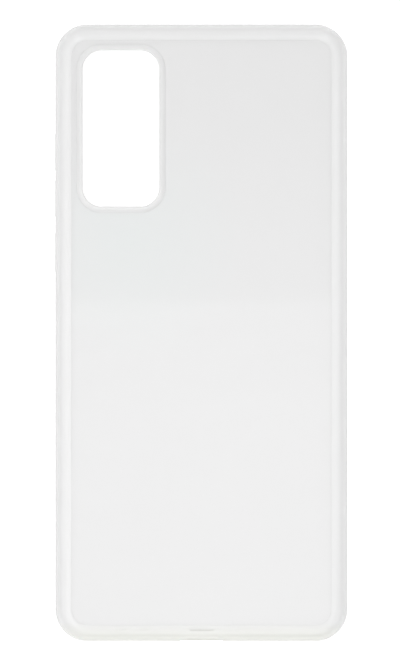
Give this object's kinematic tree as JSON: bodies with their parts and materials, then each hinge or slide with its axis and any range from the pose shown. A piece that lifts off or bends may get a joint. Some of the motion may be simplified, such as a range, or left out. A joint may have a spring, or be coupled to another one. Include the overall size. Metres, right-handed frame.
{
  "type": "phone case",
  "caption": "Clear slim phone case: hard flat back panel in a soft rounded frame with a front lip, rimmed camera window, cable port and press-through key covers.",
  "frame": {"origin": "middle of the outline, at the front rim that the case rests on when it lies with its back up", "axes": "+Z out of the back, +Y to the end with the camera window, -X to the side with the key covers"},
  "size_m": [0.0768, 0.162, 0.0108],
  "materials": {
    "clear_panel": "clear, glossy, faint haze",
    "clear_soft": "clear soft elastomer, satin gloss"
  },
  "bodies": {
    "case": {"back_plate": "clear_panel", "bumper_frame": "clear_soft", "camera_ring": "clear_soft"},
    "power_key": {"power_key_cover": "clear_soft"},
    "volume_up": {"volume_up_cover": "clear_soft"},
    "volume_down": {"volume_down_cover": "clear_soft"}
  },
  "joints": [
    {"name": "power_press", "type": "slide", "parent": "case", "child": "power_key", "axis": [1, 0, 0], "range_m": [0, 0.0004], "stiffness_N_per_m": 300},
    {"name": "volume_up_press", "type": "slide", "parent": "case", "child": "volume_up", "axis": [1, 0, 0], "range_m": [0, 0.0004], "stiffness_N_per_m": 300},
    {"name": "volume_down_press", "type": "slide", "parent": "case", "child": "volume_down", "axis": [1, 0, 0], "range_m": [0, 0.0004], "stiffness_N_per_m": 300}
  ]
}
